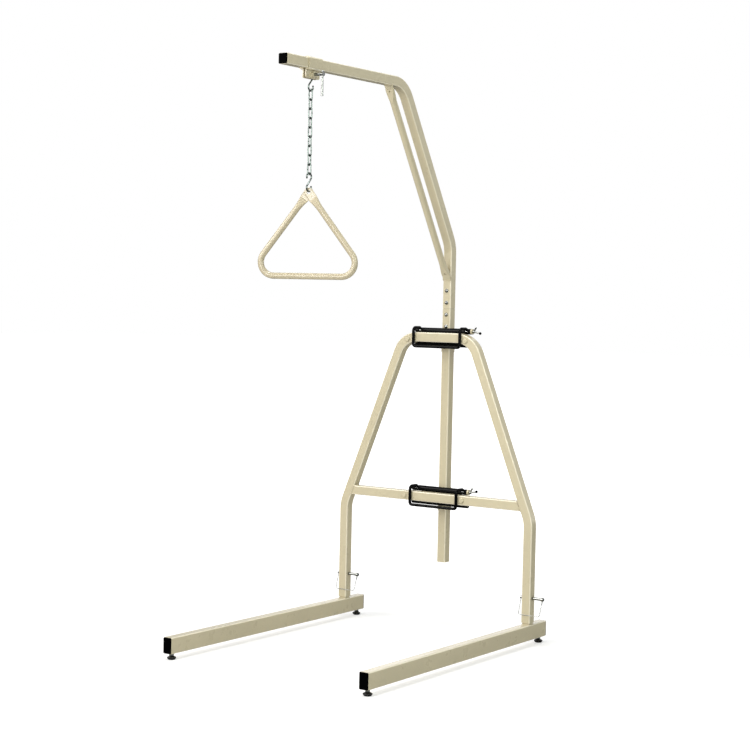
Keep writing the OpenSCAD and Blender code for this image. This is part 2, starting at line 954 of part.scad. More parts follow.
module splice_bolts() {
    r = bolt_head_d / 2;
    h = bolt_head_h;
    color(steel)
        for (z = bolt_zs)
            translate([mast_x, mast_front_y, z])
                rotate([90, 0, 0]) {
                    intersection() {
                        translate([0, 0, h - (r * r + h * h) / (2 * h)])
                            sphere(r = (r * r + h * h) / (2 * h));
                        cylinder(r = r, h = h);
                    }
                    translate([0, 0, -tube_side - nut_h - 2])
                        cylinder(d = bolt_d, h = tube_side + nut_h + 2);
                }
}

module splice_nuts() {
    color(steel)
        for (z = bolt_zs)
            translate([mast_x, mast_y + half, z])
                rotate([-90, 0, 0])
                    linear_extrude(nut_h)
                        difference() {
                            hexagon(nut_af);
                            circle(d = bolt_d + 2 * fit_gap);
                        }
}

// Slider on the boom

module boom_slider() {
    depth = half + flange_depth;
    color(cream)
        translate([mast_x, slider_pos_y, boom_z])
            difference() {
                translate([0, slider_length / 2, 0])
                    rotate([90, 0, 0])
                        linear_extrude(slider_length)
                            difference() {
                                union() {
                                    rounded_rect(strap_outer, strap_outer,
                                        tube_corner + strap_t);
                                    translate([-flange_out, -depth])
                                        square([2 * flange_out, depth]);
                                }
                                rounded_rect(strap_inner, strap_inner,
                                    tube_corner + slip_gap);
                                translate([-flange_slot / 2, -depth - 1])
                                    square([flange_slot, depth + 1]);
                            }
                translate([0, 0, screw_z - boom_z])
                    x_cyl(slider_screw_d + 2 * run_gap, 4 * flange_out);
                flange_corners();
            }
}

// Rounds the lower corners of the two flanges
module flange_corners() {
    r = 6;
    z = -half - flange_depth;
    for (side = [-1, 1])
        translate([0, side * (slider_length / 2 - r), z + r])
            difference() {
                translate([0, side * r, -r])
                    cube([4 * flange_out, 2 * r, 2 * r], center = true);
                x_cyl(2 * r, 5 * flange_out);
            }
}

module slider_boss() {
    color(cream)
        translate([mast_x + flange_out, slider_pos_y, screw_z])
            rotate([0, 90, 0])
                difference() {
                    cylinder(d = boss_d, h = boss_l);
                    translate([0, 0, -1])
                        cylinder(d = slider_screw_d + 2 * fit_gap, h = boss_l + 2);
                }
}

module slider_nut() {
    color(steel)
        translate([mast_x - flange_out - slider_nut_l, slider_pos_y, screw_z])
            rotate([0, 90, 0])
                linear_extrude(slider_nut_l)
                    difference() {
                        hexagon(slider_nut_af);
                        circle(d = slider_screw_d + 2 * fit_gap);
                    }
}

head_x = flange_out + slider_screw_out;

module slider_screw() {
    tail = -flange_out - slider_nut_l - 2;
    color(steel)
        translate([mast_x, slider_pos_y, screw_z])
            difference() {
                union() {
                    translate([(tail + head_x) / 2, 0, 0])
                        x_cyl(slider_screw_d, head_x - tail);
                    translate([head_x, 0, 0])
                        x_cyl(screw_head_d, screw_head_l);
                }
                translate([head_x, 0, 0])
                    cylinder(d = tommy_d + 2 * run_gap, h = 2 * screw_head_d, center = true);
            }
}

module tommy_bar() {
    top = screw_head_d / 2 + run_gap;
    color(steel)
        translate([mast_x + head_x, slider_pos_y, screw_z]) {
            translate([0, 0, top + tommy_end_l - tommy_length])
                cylinder(d = tommy_d, h = tommy_length);
            translate([0, 0, top])
                cylinder(d = tommy_end_d, h = tommy_end_l);
            translate([0, 0, top + tommy_end_l - tommy_length])
                cylinder(d = tommy_end_d, h = tommy_end_l);
        }
}

// Chain

hook_lean = asin(2 * hook_r / hook_pitch);

// One loop of an S-hook, up to its tangent point
module hook_loop() {
    rotate([90, 0, 90])
        rotate([0, 0, -hook_lean])
            rotate_extrude(angle = 250)
                translate([hook_r, 0])
                    circle(hook_wire_r - seam_step);
}

// An S-hook in the YZ plane, with its upper loop's centre at height z
module s_hook(z) {
    spine = hook_pitch * cos(hook_lean) + 2 * seam_lap;
    color(steel)
        translate([mast_x, slider_pos_y, z - hook_pitch / 2]) {
            rotate([-hook_lean, 0, 0])
                cylinder(r = hook_wire_r, h = spine, center = true);
            for (turn = [0, 180])
                rotate([turn, 0, 0])
                    translate([0, 0, hook_pitch / 2])
                        hook_loop();
        }
}

// A link in the XZ plane, hanging from its top wire
module chain_link() {
    bend = (link_width - link_d) / 2;
    straight = link_length - 2 * bend;
    translate([0, 0, -bend])
        for (turn = [0, 180])
            translate([0, 0, -turn / 180 * straight])
                rotate([90, turn, 0]) {
                    rotate_extrude(angle = 180)
                        translate([bend, 0])
                            circle(link_r);
                    translate([bend, 0, 0])
                        rotate([90, 0, 0])
                            cylinder(r = link_r, h = straight);
                }
}

module chain_links(first, last) {
    color(steel)
        for (i = [first : last])
            translate([mast_x, slider_pos_y, first_link_top - i * link_pitch])
                rotate([0, 0, 90 * (i % 2)])
                    chain_link();
}

// Handle

// One flattened end, below the hole at the origin: a flat tab on a cone cut to a wedge
module handle_tab(offset) {
    translate([0, offset, 0])
        rotate([90, 0, 0])
            linear_extrude(tab_t, center = true) {
                circle(d = tab_width);
                translate([-tab_width / 2, -tab_length - 1])
                    square([tab_width, tab_length + 1]);
            }
    translate([0, 0, -tab_length - tab_blend])
        intersection() {
            cylinder(d1 = handle_d + 2 * wedge_step, d2 = tab_width + 0.6, h = tab_blend);
            rotate([90, 0, 90])
                linear_extrude(2 * tab_width, center = true)
                    polygon([[-wedge_half, -1], [wedge_half, -1], [wedge_half, 0],
                        [offset + tab_t / 2, tab_blend], [offset - tab_t / 2, tab_blend],
                        [-wedge_half, 0]]);
        }
}

// The path of the handle's tube, shortened at both ends, with the given section
module handle_sweep(shorter) {
    start = tab_length + tab_blend + shorter;
    run = handle_side - start;
    turn = 90 + handle_angle;
    rotate([0, 180 - handle_angle, 0])
        translate([0, 0, start])
            bent([[run, turn, handle_corner_r], [grip_length, turn, handle_corner_r],
                  [run, 0, 0]])
                children();
}

module trapeze_handle() {
    color(handle_cream)
        translate([mast_x, slider_pos_y, handle_z])
            rotate([0, 0, handle_yaw])
                difference() {
                    union() {
                        handle_sweep(-seam_lap / 2)
                            swept_circle(handle_d);
                        for (side = [-1, 1])
                            rotate([0, -side * handle_angle, 0])
                                handle_tab(-side * (tab_t + tab_gap) / 2);
                    }
                    handle_sweep(1)
                        swept_circle(handle_d - 2 * handle_wall);
                    y_cyl(handle_hole_d, 4 * handle_d);
                }
}

// Moves the stand so that the origin lies under the middle of its box
module place() {
    translate([-base_x, -base_y, 0])
        children();
}

place() foot_tube(-1);  // left_foot_tube
place() foot_tube(1);  // right_foot_tube
place() foot_caps(-1);  // left_foot_caps
place() foot_caps(1);  // right_foot_caps
place() leg_stub(-1);  // left_leg_stub
place() leg_stub(1);  // right_leg_stub
place() glide_nuts();
place() glide_pad(-1, glide_ys()[0]);  // left_front_pad
place() glide_pad(1, glide_ys()[0]);  // right_front_pad
place() glide_pad(-1, glide_ys()[1]);  // left_rear_pad
place() glide_pad(1, glide_ys()[1]);  // right_rear_pad
place() glide_stem(-1, glide_ys()[0]);  // left_front_stem
place() glide_stem(1, glide_ys()[0]);  // right_front_stem
place() glide_stem(-1, glide_ys()[1]);  // left_rear_stem
place() glide_stem(1, glide_ys()[1]);  // right_rear_stem
place() a_frame_tube();
place() lower_crossbar();
place() stop_studs();
place() lock_pin(-1);  // left_lock_pin
place() lock_pin(1);  // right_lock_pin
place() pin_wire(-1);  // left_pin_wire
place() pin_wire(1);  // right_pin_wire
place() mast_sleeve(upper_clamp_z);  // upper_mast_sleeve
place() clamp_rails(upper_clamp_z);  // upper_clamp_rails
place() rail_plugs(upper_clamp_z);  // upper_rail_plugs
place() clamp_shaft(upper_clamp_z);  // upper_clamp_shaft
place() clamp_bail(upper_clamp_z);  // upper_clamp_bail
place() clamp_bush(upper_clamp_z);  // upper_clamp_bush
place() clamp_screw(upper_clamp_z);  // upper_clamp_screw
place() clamp_lever(upper_clamp_z, upper_tilt);  // upper_clamp_lever
place() lever_ball(upper_clamp_z, upper_tilt);  // upper_lever_ball
place() mast_sleeve(lower_clamp_z);  // lower_mast_sleeve
place() clamp_rails(lower_clamp_z);  // lower_clamp_rails
place() rail_plugs(lower_clamp_z);  // lower_rail_plugs
place() clamp_shaft(lower_clamp_z);  // lower_clamp_shaft
place() clamp_bail(lower_clamp_z);  // lower_clamp_bail
place() clamp_bush(lower_clamp_z);  // lower_clamp_bush
place() clamp_screw(lower_clamp_z);  // lower_clamp_screw
place() clamp_lever(lower_clamp_z, lower_tilt);  // lower_clamp_lever
place() lever_ball(lower_clamp_z, lower_tilt);  // lower_lever_ball
place() mast_tube();
place() splice_tube();
place() boom_tube();
place() brace_tube();
place() boom_end_cap();
place() stop_screw();
place() splice_bolts();
place() splice_nuts();
place() boom_slider();
place() slider_boss();
place() slider_nut();
place() slider_screw();
place() tommy_bar();
place() s_hook(upper_loop_z);  // upper_s_hook
place() chain_links(0, upper_links - 1);  // upper_chain_links
place() chain_links(upper_links, link_count - 1);  // lower_chain_links
place() s_hook(lower_loop_z);  // lower_s_hook
place() trapeze_handle();
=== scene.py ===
"""Bed trapeze stand: looks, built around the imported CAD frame."""
import json
import math

import bmesh
import bpy
from mathutils import Matrix, Vector


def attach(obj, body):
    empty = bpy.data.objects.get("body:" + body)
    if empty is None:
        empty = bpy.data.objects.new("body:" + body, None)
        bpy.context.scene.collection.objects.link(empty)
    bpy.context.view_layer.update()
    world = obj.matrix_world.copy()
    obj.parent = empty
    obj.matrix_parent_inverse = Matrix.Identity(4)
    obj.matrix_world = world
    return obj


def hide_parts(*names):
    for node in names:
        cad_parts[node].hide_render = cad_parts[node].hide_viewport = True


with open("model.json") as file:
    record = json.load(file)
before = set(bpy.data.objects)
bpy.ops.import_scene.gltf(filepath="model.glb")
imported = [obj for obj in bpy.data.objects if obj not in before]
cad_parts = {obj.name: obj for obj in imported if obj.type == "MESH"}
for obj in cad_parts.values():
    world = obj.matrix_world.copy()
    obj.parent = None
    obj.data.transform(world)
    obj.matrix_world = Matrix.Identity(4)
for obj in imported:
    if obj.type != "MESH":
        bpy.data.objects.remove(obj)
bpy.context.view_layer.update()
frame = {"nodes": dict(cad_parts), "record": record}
nodes = frame["nodes"]

MM = 0.001


def link_object(name, data):
    """A new object with this data, in the scene."""
    o = bpy.data.objects.new(name, data)
    bpy.context.scene.collection.objects.link(o)
    return o


# The camera that fits the reference: its turn, its dip, its roll, and its place in metres
AZ, PITCH, ROLL = math.radians(34.905), math.radians(2.573), math.radians(-1.198)
CAM_POS = Vector((3.02133, -4.30654, 1.10914))
FOCAL_PX, FRAME_PX, SENSOR = 1680.2, 750, 36


def camera():
    """The scene's camera, built from the fitted turn, dip and roll."""
    forward = Vector((-math.sin(AZ) * math.cos(PITCH), math.cos(AZ) * math.cos(PITCH),
                      -math.sin(PITCH)))
    level = Vector((math.cos(AZ), math.sin(AZ), 0))
    down = forward.cross(level)
    right = math.cos(ROLL) * level + math.sin(ROLL) * down
    low = -math.sin(ROLL) * level + math.cos(ROLL) * down
    data = bpy.data.cameras.new("camera")
    data.sensor_width = SENSOR
    data.lens = FOCAL_PX / FRAME_PX * SENSOR
    data.clip_end = 60
    cam = link_object("camera", data)
    turn = Matrix((right, -low, -forward)).transposed().to_4x4()
    cam.matrix_world = Matrix.Translation(CAM_POS) @ turn
    bpy.context.scene.camera = cam


# Materials
class Nodes:
    """Short calls for one material's or the world's nodes."""

    def __init__(self, tree):
        self.tree = tree

    def add(self, kind, **settings):
        node = self.tree.nodes.new("ShaderNode" + kind)
        for key, value in settings.items():
            setattr(node, key, value)
        return node

    def link(self, out, inp):
        self.tree.links.new(out, inp)

    def math(self, op, a, b=None):
        node = self.add("Math", operation=op)
        for i, v in enumerate((a, b)):
            if v is None:
                continue
            if isinstance(v, (int, float)):
                node.inputs[i].default_value = v
            else:
                self.link(v, node.inputs[i])
        return node.outputs[0]

    def remap(self, value, lo, hi, a, b):
        node = self.add("MapRange")
        self.link(value, node.inputs["Value"])
        for key, v in (("From Min", lo), ("From Max", hi), ("To Min", a), ("To Max", b)):
            node.inputs[key].default_value = v
        return node.outputs["Result"]

    def mix(self, factor, a, b):
        """Goes from a, a colour's output, to b, a fixed colour."""
        node = self.add("Mix", data_type="RGBA")
        self.link(factor, node.inputs["Factor"])
        self.link(a, node.inputs["A"])
        node.inputs["B"].default_value = (*b, 1)
        return node.outputs["Result"]

    def dot(self, vector, axis):
        node = self.add("VectorMath", operation="DOT_PRODUCT")
        self.link(vector, node.inputs[0])
        node.inputs[1].default_value = axis
        return node.outputs["Value"]

    def noise(self, vector, scale, detail=3, rough=0.5):
        node = self.add("TexNoise")
        self.link(vector, node.inputs["Vector"])
        node.inputs["Scale"].default_value = scale
        node.inputs["Detail"].default_value = detail
        node.inputs["Roughness"].default_value = rough
        return node.outputs["Fac"]


CORNER_HIGHLIGHT_COLOUR = (0.86, 0.79, 0.62)            # painted highlight: the lighter colour given to the rounded corners
PEEL_DEPTH = 0.0005


def material(name, colour, rough, metal=0.0, coat=0.0, coat_rough=0.2, spec=0.5,
             tint=0.03, patch=7.0, peel=0.02, peel_scale=420.0, dust=0.0,
             dust_colour=(0.30, 0.28, 0.24), spread=0.05, edge=0.0, speck=0.0, highlight_corner_axis=None):
    """A finish: cloudy tint, dust in patches, uneven gloss and a fine surface.

    tint is the tint's swing and patch the clouds per metre; peel and peel_scale are the surface's
    strength and its bumps per metre; dust and speck are how far the dust and the dots show; spread
    is the swing of the gloss; edge is the radius of the edges' soft shading; highlight_corner_axis
    is the axis of a square tube whose rounded corners get a painted highlight, a lighter colour.
    """
    m = bpy.data.materials.new(name)
    m.use_nodes = True
    n = Nodes(m.node_tree)
    bsdf = m.node_tree.nodes["Principled BSDF"]
    place = n.add("TexCoord").outputs["Object"]
    cloud = n.noise(place, patch, 5, 0.55)
    scale = n.add("VectorMath", operation="SCALE")
    scale.inputs[0].default_value = colour
    n.link(n.remap(cloud, 0.3, 0.7, 1 - tint, 1 + tint), scale.inputs["Scale"])
    tone = scale.outputs["Vector"]
    if dust:
        grime = n.noise(place, patch * 6, 8, 0.7)
        tone = n.mix(n.remap(grime, 0.52, 0.78, 0.0, dust), tone, dust_colour)
    if speck:
        dots = n.noise(place, 900, 2)
        dark = [c * 0.45 for c in colour]
        tone = n.mix(n.remap(dots, 0.66, 0.74, 0.0, speck), tone, dark)
    if highlight_corner_axis:
        # painted highlight: the rounded corners, where the face is square neither to the axis nor
        # along it, are mixed towards a lighter colour
        along = n.dot(n.add("TexCoord").outputs["Normal"], highlight_corner_axis)
        square = n.math("MULTIPLY", along, along)
        bent = n.math("MULTIPLY", square, n.math("SUBTRACT", 1.0, square))
        tone = n.mix(n.remap(bent, 0.02, 0.16, 0.0, 1.0), tone, CORNER_HIGHLIGHT_COLOUR)
    n.link(tone, bsdf.inputs["Base Color"])
    gloss = n.noise(place, patch * 3, 6, 0.6)
    n.link(n.remap(gloss, 0.3, 0.7, max(rough - spread, 0.03), rough + spread),
           bsdf.inputs["Roughness"])
    bump = n.add("Bump")
    bump.inputs["Strength"].default_value = peel
    bump.inputs["Distance"].default_value = PEEL_DEPTH
    n.link(n.noise(place, peel_scale), bump.inputs["Height"])
    if edge:
        bevel = n.add("Bevel", samples=4)
        bevel.inputs["Radius"].default_value = edge
        n.link(bevel.outputs["Normal"], bump.inputs["Normal"])
    n.link(bump.outputs["Normal"], bsdf.inputs["Normal"])
    bsdf.inputs["Metallic"].default_value = metal
    bsdf.inputs["Specular IOR Level"].default_value = spec
    bsdf.inputs["Coat Weight"].default_value = coat
    bsdf.inputs["Coat Roughness"].default_value = coat_rough
    return m


ENAMEL = dict(colour=(0.615, 0.545, 0.375), rough=0.30, coat=0.55, coat_rough=0.11, spec=0.45,
              peel=0.035, dust=0.10, speck=0.08)
CREAM = material("cream_enamel", **ENAMEL)
# cream enamel with a painted highlight on the rounded corners, one material for each corner axis
CREAM_HIGHLIT_CORNERS_LONG = material("cream_enamel_highlit_corners_long", highlight_corner_axis=(1, 0, 0), **ENAMEL)
CREAM_HIGHLIT_CORNERS_ACROSS = material("cream_enamel_highlit_corners_across", highlight_corner_axis=(0, 1, 0), **ENAMEL)
HANDLE = material("handle_enamel", (0.575, 0.50, 0.345), 0.34, coat=0.75, coat_rough=0.14,
                  tint=0.015, peel=0.006, peel_scale=260, dust=0.02, spread=0.03)
BLACK = material("black_enamel", (0.0018, 0.0018, 0.0022), 0.26, coat=0.07, coat_rough=0.08,
                 spec=0.06, tint=0.15, peel=0.02, dust=0.02, dust_colour=(0.02, 0.02, 0.02))
PLASTIC = material("black_plastic", (0.0011, 0.0011, 0.0013), 0.5, spec=0.01, tint=0.15, peel=0.06,
                   peel_scale=1500, dust=0.02, dust_colour=(0.016, 0.016, 0.015), edge=0.0005)
RUBBER = material("black_rubber", (0.005, 0.005, 0.0055), 0.38, coat=0.45, coat_rough=0.14,
                  spec=0.35, tint=0.2, peel=0.05, peel_scale=1100, dust=0.06,
                  dust_colour=(0.05, 0.047, 0.042))
ZINC = material("zinc_steel", (0.38, 0.39, 0.38), 0.18, metal=1.0, tint=0.12, patch=70, peel=0.05,
                peel_scale=1400, dust=0.10, dust_colour=(0.20, 0.195, 0.17), spread=0.06,
                edge=0.0004)
CHROME = material("chrome", (0.24, 0.285, 0.265), 0.05, metal=1.0, tint=0.06, patch=80, peel=0.02,
                  peel_scale=900, dust=0.10, dust_colour=(0.06, 0.075, 0.065), spread=0.03)
WELD = material("weld_under_enamel", (0.56, 0.49, 0.33), 0.38, coat=0.4, coat_rough=0.15,
                tint=0.10, patch=160, peel=0.4, peel_scale=900, dust=0.25,
                dust_colour=(0.33, 0.28, 0.18))
BLACK_WELD = material("weld_under_black", (0.005, 0.005, 0.005), 0.35, spec=0.25, tint=0.2,
                      patch=160, peel=0.5, peel_scale=900)

BY_SLOT = {"cream_enamel": CREAM, "handle_enamel": HANDLE, "black_enamel": BLACK,
           "black_plastic": PLASTIC, "black_rubber": RUBBER, "zinc_steel": ZINC, "chrome": CHROME}
# The square tubes, by the axis that their corners turn away from; their rounded corners get a
# painted highlight
BY_NODE = {node: CREAM_HIGHLIT_CORNERS_LONG for node in (
    "left_foot_tube", "right_foot_tube", "boom_tube", "boom_slider")}
BY_NODE.update({node: CREAM_HIGHLIT_CORNERS_ACROSS for node in (
    "a_frame_tube", "lower_crossbar", "mast_tube", "left_leg_stub", "right_leg_stub",
    "upper_mast_sleeve", "lower_mast_sleeve")})


def dress_cad():
    """Gives each CAD node the material of its slot, or its own."""
    for part in frame["record"]["subparts"]:
        for s in nodes[part["node"]].material_slots:
            s.material = BY_NODE.get(part["node"], BY_SLOT[part["material_slot"]])


# Sizes of the CAD source, in millimetres, and the places that follow from them
SIDE, CORNER, TUBE_WALL = 31.75, 4.0, 2.5
HALF = SIDE / 2
SLIP_GAP, RUN_GAP, WELD_GAP = 0.35, 0.3, 0.15
SIDES = {"left": -1, "right": 1}

# The feet, the stubs on them and the glides under them
LEG_X, FOOT_FRONT, FOOT_REAR = 366.0, -914.0, 93.0
FOOT_LIFT, FOOT_HIGH = 19.2, 50.8
FOOT_TOP = FOOT_LIFT + FOOT_HIGH
STUB_SIDE, STUB_CORNER = SIDE - 2 * (TUBE_WALL + SLIP_GAP), 2.0
GLIDE_INSET, NUT_HALF = 19.0, 6.5
GLIDES = {"front": FOOT_FRONT + GLIDE_INSET, "rear": FOOT_REAR - GLIDE_INSET}

# The frame's origin, in the source: under the middle of the box that the pins and the feet span
PIN_NECK, PIN_HEAD_L, PIN_TIP_OUT = 31.0, 11.0, 14.0
BASE = Vector(((PIN_NECK + PIN_HEAD_L - PIN_TIP_OUT) / 2, (FOOT_FRONT + FOOT_REAR) / 2, 0.0))

# The A-frame, and the clamps on its two crossbars
LOWER_Z, TOP_Z, CROSS_Z, SLANT, TOP_BEND = 404.0, 987.0, 451.0, math.radians(21.7), 80.0
RAIL_R, RAIL_PITCH, RAIL_LENGTH, SLEEVE_WALL, LOWER_CLAMP_LIFT = 9.5, 44.0, 216.0, 1.5, 2.0
RAIL_Y = HALF + WELD_GAP + RAIL_R
STUD_OUT, STUD_WELD_R = 6.0, 8.1
STUD_X = RAIL_LENGTH / 2 + STUD_OUT

# The mast, the boom and the brace; the brace's height and reach are rounded to a millimetre
MAST_X, MAST_Y = 4.0, RAIL_Y + RAIL_R + SLEEVE_WALL + SLIP_GAP + HALF
BOOM_Z, BOOM_REACH = 1800.0, 922.0
BRACE_Z, BRACE_REACH, BRACE_W, BRACE_T, BRACE_CORNER = 1184.0, 384.0, 30.4, 7.2, 3.4

# The slider, from the boom's end, and its screw, from the boom's underside
SLIDER_IN, SCREW_DROP, SCREW_D = 134.0, 15.5, 9.0
SLIDER_Y = MAST_Y - BOOM_REACH + SLIDER_IN
SCREW_Z = BOOM_Z - HALF - SCREW_DROP
BOSS_FACE, BOSS_WELD_R = 7.4, 9.1

# The chain's links, between two hooks; a hook's drop is its centre line's, from top to bottom
LINKS, UPPER_LINKS, LINK_PITCH, LINK_WIRE, LINK_W = 9, 5, 27.4, 4.2, 15.5
HOOK_WIRE, HOOK_DROP = 5.0, 55.0
HOOK_HOLD = (HOOK_WIRE + LINK_WIRE) / 2 + RUN_GAP
LINK_Z = SCREW_Z + (SCREW_D + HOOK_WIRE) / 2 + RUN_GAP - HOOK_DROP + HOOK_HOLD
CHAIN_END_Z = LINK_Z - LINKS * LINK_PITCH - LINK_WIRE - RUN_GAP

# The handle; its sag is from the middle of the lower hook's wire down to the hole's middle
HANDLE_D, HANDLE_GRIP, HANDLE_BEND, HANDLE_SAG = 19.0, 210.0, 41.0, 2.2
HANDLE_LEAN, HANDLE_YAW, HOLE_D = math.radians(37), math.radians(20), 12.0
HANDLE_Z = CHAIN_END_Z + HOOK_HOLD - HOOK_DROP - HANDLE_SAG
TAB_W, TAB_T, TAB_GAP, TAB_L, TAB_BLEND = 28.0, 2.4, 0.3, 24.0, 36.0


def row(x, y, z):
    """A point of the source, in metres in the shared frame."""
    return (Vector((x, y, z)) - BASE) * MM


def angles(n):
    return [2 * math.pi * k / n for k in range(n)]


def clamped(v, lo, hi):
    return min(hi, max(lo, v))


# Pieces
def piece(name, bm, body, mat, replaces=(), smooth=True):
    """Turns a bmesh into a piece that rides on a CAD body."""
    bmesh.ops.recalc_face_normals(bm, faces=bm.faces)
    me = bpy.data.meshes.new(name)
    bm.to_mesh(me)
    bm.free()
    me.materials.append(mat)
    if smooth:
        me.polygons.foreach_set("use_smooth", [True] * len(me.polygons))
    o = link_object(name, me)
    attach(o, body)
    if replaces:
        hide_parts(*replaces)
    return o


def skin(bm, rings, closed_path=False):
    """Joins rings of points, each closed, into a surface."""
    made = [[bm.verts.new(p) for p in ring] for ring in rings]
    pairs = list(zip(made, made[1:])) + ([(made[-1], made[0])] if closed_path else [])
    for a, b in pairs:
        for i in range(len(a)):
            j = (i + 1) % len(a)
            bm.faces.new((a[i], a[j], b[j], b[i]))
    if not closed_path:
        bm.faces.new(made[0][::-1])
        bm.faces.new(made[-1])


BEAD_STEP, RIPPLE, RIPPLE_LENGTH, SWELL_LENGTH = 0.0008, 0.18, 0.0011, 0.0047


def even(points, step, closed):
    """The same path with points a step apart."""
    out = []
    after = points[1:] + points[:1] if closed else points[1:]
    for a, b in zip(points, after):
        n = max(1, round((b - a).length / step))
        out += [a.lerp(b, k / n) for k in range(n)]
    return out if closed else out + [points[-1]]


def bead(bm, path, radius, closed=True, seed=0.0, step=BEAD_STEP):
    """A weld bead along a path in metres, with the ripples of its run."""
    points = even(path, step, closed)
    count = len(points)
    rings = []
    travelled = 0.0
    for i, p in enumerate(points):
        before = points[i - 1] if closed or i else p
        after = points[(i + 1) % count] if closed or i < count - 1 else p
        along = (after - before).normalized()
        side = along.orthogonal().normalized()
        other = along.cross(side)
        swell = 0.6 + 0.4 * math.sin(travelled / SWELL_LENGTH)
        r = radius * (1 + RIPPLE * math.sin(travelled / RIPPLE_LENGTH + seed) * swell)
        rings.append([p + r * (math.cos(t) * side + math.sin(t) * other) for t in angles(8)])
        travelled += (after - p).length
    if not closed:
        for ring, p in ((rings[0], points[0]), (rings[-1], points[-1])):
            ring[:] = [p + 0.45 * (q - p) for q in ring]
    skin(bm, rings, closed_path=closed)


def rounded(w, h, r, n=5):
    """A rectangle with rounded corners, round the origin, as pairs."""
    pts = []
    for cx, cy, start in ((w / 2 - r, h / 2 - r, 0), (r - w / 2, h / 2 - r, 90),
                          (r - w / 2, r - h / 2, 180), (w / 2 - r, r - h / 2, 270)):
        for k in range(n + 1):
            t = math.radians(start + 90 * k / n)
            pts.append((cx + r * math.cos(t), cy + r * math.sin(t)))
    return pts


def inner_half(z):
    """Half the room between the two slanted stretches, at a height."""
    return LEG_X - (z - LOWER_Z) * math.tan(SLANT) - HALF / math.cos(SLANT)


def top_bar_z(x):
    """The height of the top bar's centre line, which bends down towards its ends."""
    bend_start = (LEG_X - (TOP_Z - LOWER_Z) * math.tan(SLANT)
                  - TOP_BEND * math.tan((math.pi / 2 - SLANT) / 2))
    into = max(0.0, x - bend_start)
    return TOP_Z - TOP_BEND + math.sqrt(TOP_BEND ** 2 - into ** 2)


def cream_weld(name, beads, body="base"):
    """One piece of enamelled weld from beads, each a path, a radius and any other settings."""
    bm = bmesh.new()
    for path, radius, settings in beads:
        bead(bm, path, radius, **settings)
    piece(name, bm, body, WELD)


# Each weld's bead: its radius in metres, and how far its middle is off the face in millimetres
STUB_BEAD, STUB_BEAD_OFF = 0.0017, 0.3
CROSSBAR_BEAD, CROSSBAR_BEAD_OFF = 0.0016, 0.3
STUD_BEAD, STUD_BEAD_OFF = 0.0009, 0.2
NUT_BEAD, NUT_BEAD_OFF, NUT_BEAD_STEP = 0.0008, 0.4, 0.001
BRACE_BEAD, BRACE_BEAD_OFF = 0.0014, 0.2
BOSS_BEAD = 0.0009


def cream_welds():
    """The beads of the enamelled frame, one piece for each kind of joint."""
    # where the stubs stand on the feet
    stub = rounded(STUB_SIDE, STUB_SIDE, STUB_CORNER)
    for name, side in SIDES.items():
        path = [row(side * LEG_X + u, v, FOOT_TOP + STUB_BEAD_OFF) for u, v in stub]
        cream_weld(f"{name}_stub_weld", [(path, STUB_BEAD, {})])
    # the crossbar's two ends against the slanted stretches
    cream_weld("crossbar_welds", [
        ([row(side * (inner_half(CROSS_Z + v) - CROSSBAR_BEAD_OFF), u, CROSS_Z + v)
          for u, v in rounded(SIDE, SIDE, CORNER)], CROSSBAR_BEAD, {"seed": side})
        for side in (-1, 1)])
    # the studs on the crossbars
    cream_weld("stud_welds", [
        ([row(side * STUD_X + STUD_WELD_R * math.cos(t), -HALF - STUD_BEAD_OFF,
              z + STUD_WELD_R * math.sin(t)) for t in angles(40)], STUD_BEAD, {"seed": z})
        for side in (-1, 1) for z in (CROSS_Z, top_bar_z(STUD_X))])
    # the nuts under the feet
    r = NUT_HALF / math.cos(math.pi / 6)
    cream_weld("glide_nut_welds", [
        ([row(side * LEG_X + r * math.cos(t), y + r * math.sin(t), FOOT_LIFT - NUT_BEAD_OFF)
          for t in angles(6)], NUT_BEAD, {"seed": y, "step": NUT_BEAD_STEP})
        for side in (-1, 1) for y in GLIDES.values()])
    # the brace on the mast and under the boom
    lean = math.atan2(BRACE_REACH - HALF, BOOM_Z - HALF - BRACE_Z)
    foot = rounded(BRACE_W, BRACE_T / math.sin(lean), BRACE_CORNER)
    head = rounded(BRACE_W, BRACE_T / math.cos(lean), BRACE_CORNER)
    cream_weld("brace_welds", [
        ([row(MAST_X + u, MAST_Y - HALF - BRACE_BEAD_OFF, BRACE_Z + v) for u, v in foot],
         BRACE_BEAD, {}),
        ([row(MAST_X + u, MAST_Y - BRACE_REACH + v, BOOM_Z - HALF - BRACE_BEAD_OFF)
          for u, v in head], BRACE_BEAD, {"seed": 2})], body="mast")
    # the boss on the slider's flange
    cream_weld("boss_weld", [
        ([row(MAST_X + BOSS_FACE, SLIDER_Y + BOSS_WELD_R * math.cos(t),
              SCREW_Z + BOSS_WELD_R * math.sin(t)) for t in angles(48)], BOSS_BEAD, {})],
        body="slider")


# A bead between a rail and a sleeve: its radius in metres, half of its length, and its place in
# front of the sleeve and above or below the rail's middle in millimetres
SLEEVE_BEAD, SLEEVE_BEAD_HALF, SLEEVE_BEAD_FRONT, SLEEVE_BEAD_UP = 0.0016, 16, 1.6, 5.2


def clamp_welds():
    """The beads that join each clamp's rails to its sleeve."""
    y = RAIL_Y + RAIL_R - SLEEVE_BEAD_FRONT
    for name, z in (("upper", TOP_Z), ("lower", CROSS_Z + LOWER_CLAMP_LIFT)):
        bm = bmesh.new()
        for rail in (0, 1):
            rail_z = z + RAIL_PITCH / 2 - rail * RAIL_PITCH
            for up in (-1, 1):
                line = [row(MAST_X + x, y, rail_z + up * SLEEVE_BEAD_UP)
                        for x in (-SLEEVE_BEAD_HALF, SLEEVE_BEAD_HALF)]
                bead(bm, line, SLEEVE_BEAD, closed=False, seed=up + rail)
        piece(f"{name}_sleeve_welds", bm, "base", BLACK_WELD)


